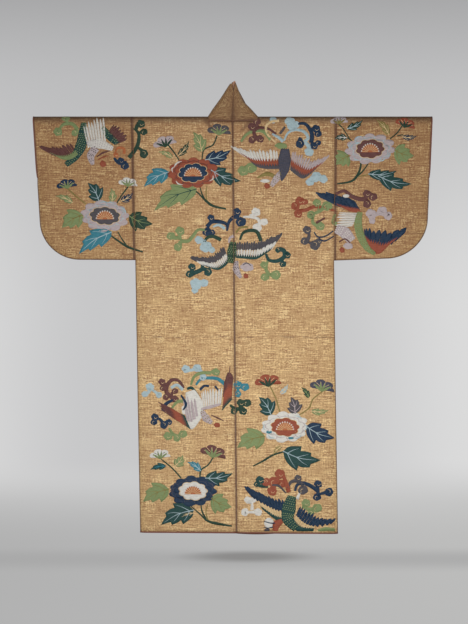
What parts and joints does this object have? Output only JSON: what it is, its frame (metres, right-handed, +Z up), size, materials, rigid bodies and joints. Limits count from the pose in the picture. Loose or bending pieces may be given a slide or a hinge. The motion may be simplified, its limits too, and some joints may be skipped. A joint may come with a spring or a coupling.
{
  "type": "noh robe hung on a plain wooden rod",
  "caption": "Flat-hung noh robe of gold-ground brocade with small-cuffed sleeves and an upright collar, on a plain rod run through the sleeves.",
  "frame": {"origin": "on the axis of the rod at its middle, where the rod is held", "axes": "+Z up; the back of the robe faces -Y and the fronts face +Y; +X towards the wearer's right sleeve"},
  "size_m": [1.4209, 0.0388, 1.6195],
  "materials": {
    "gold_brocade": "satin gold-ground brocade with silk motifs, worn in small flecks",
    "red_brown_lining": "soft matte plain silk",
    "plain_wood": "bare satin wood"
  },
  "bodies": {
    "root": {"body_left": "gold_brocade", "body_right": "gold_brocade", "sleeve_left": "gold_brocade", "sleeve_right": "gold_brocade", "collar_left": "gold_brocade", "collar_right": "gold_brocade", "okumi_left": "gold_brocade", "okumi_right": "gold_brocade", "hem_lip_left": "red_brown_lining", "hem_lip_right": "red_brown_lining", "okumi_lip_left": "red_brown_lining", "okumi_lip_right": "red_brown_lining", "cuff_lip_left": "red_brown_lining", "cuff_lip_right": "red_brown_lining", "rod": "plain_wood"}
  },
  "joints": []
}
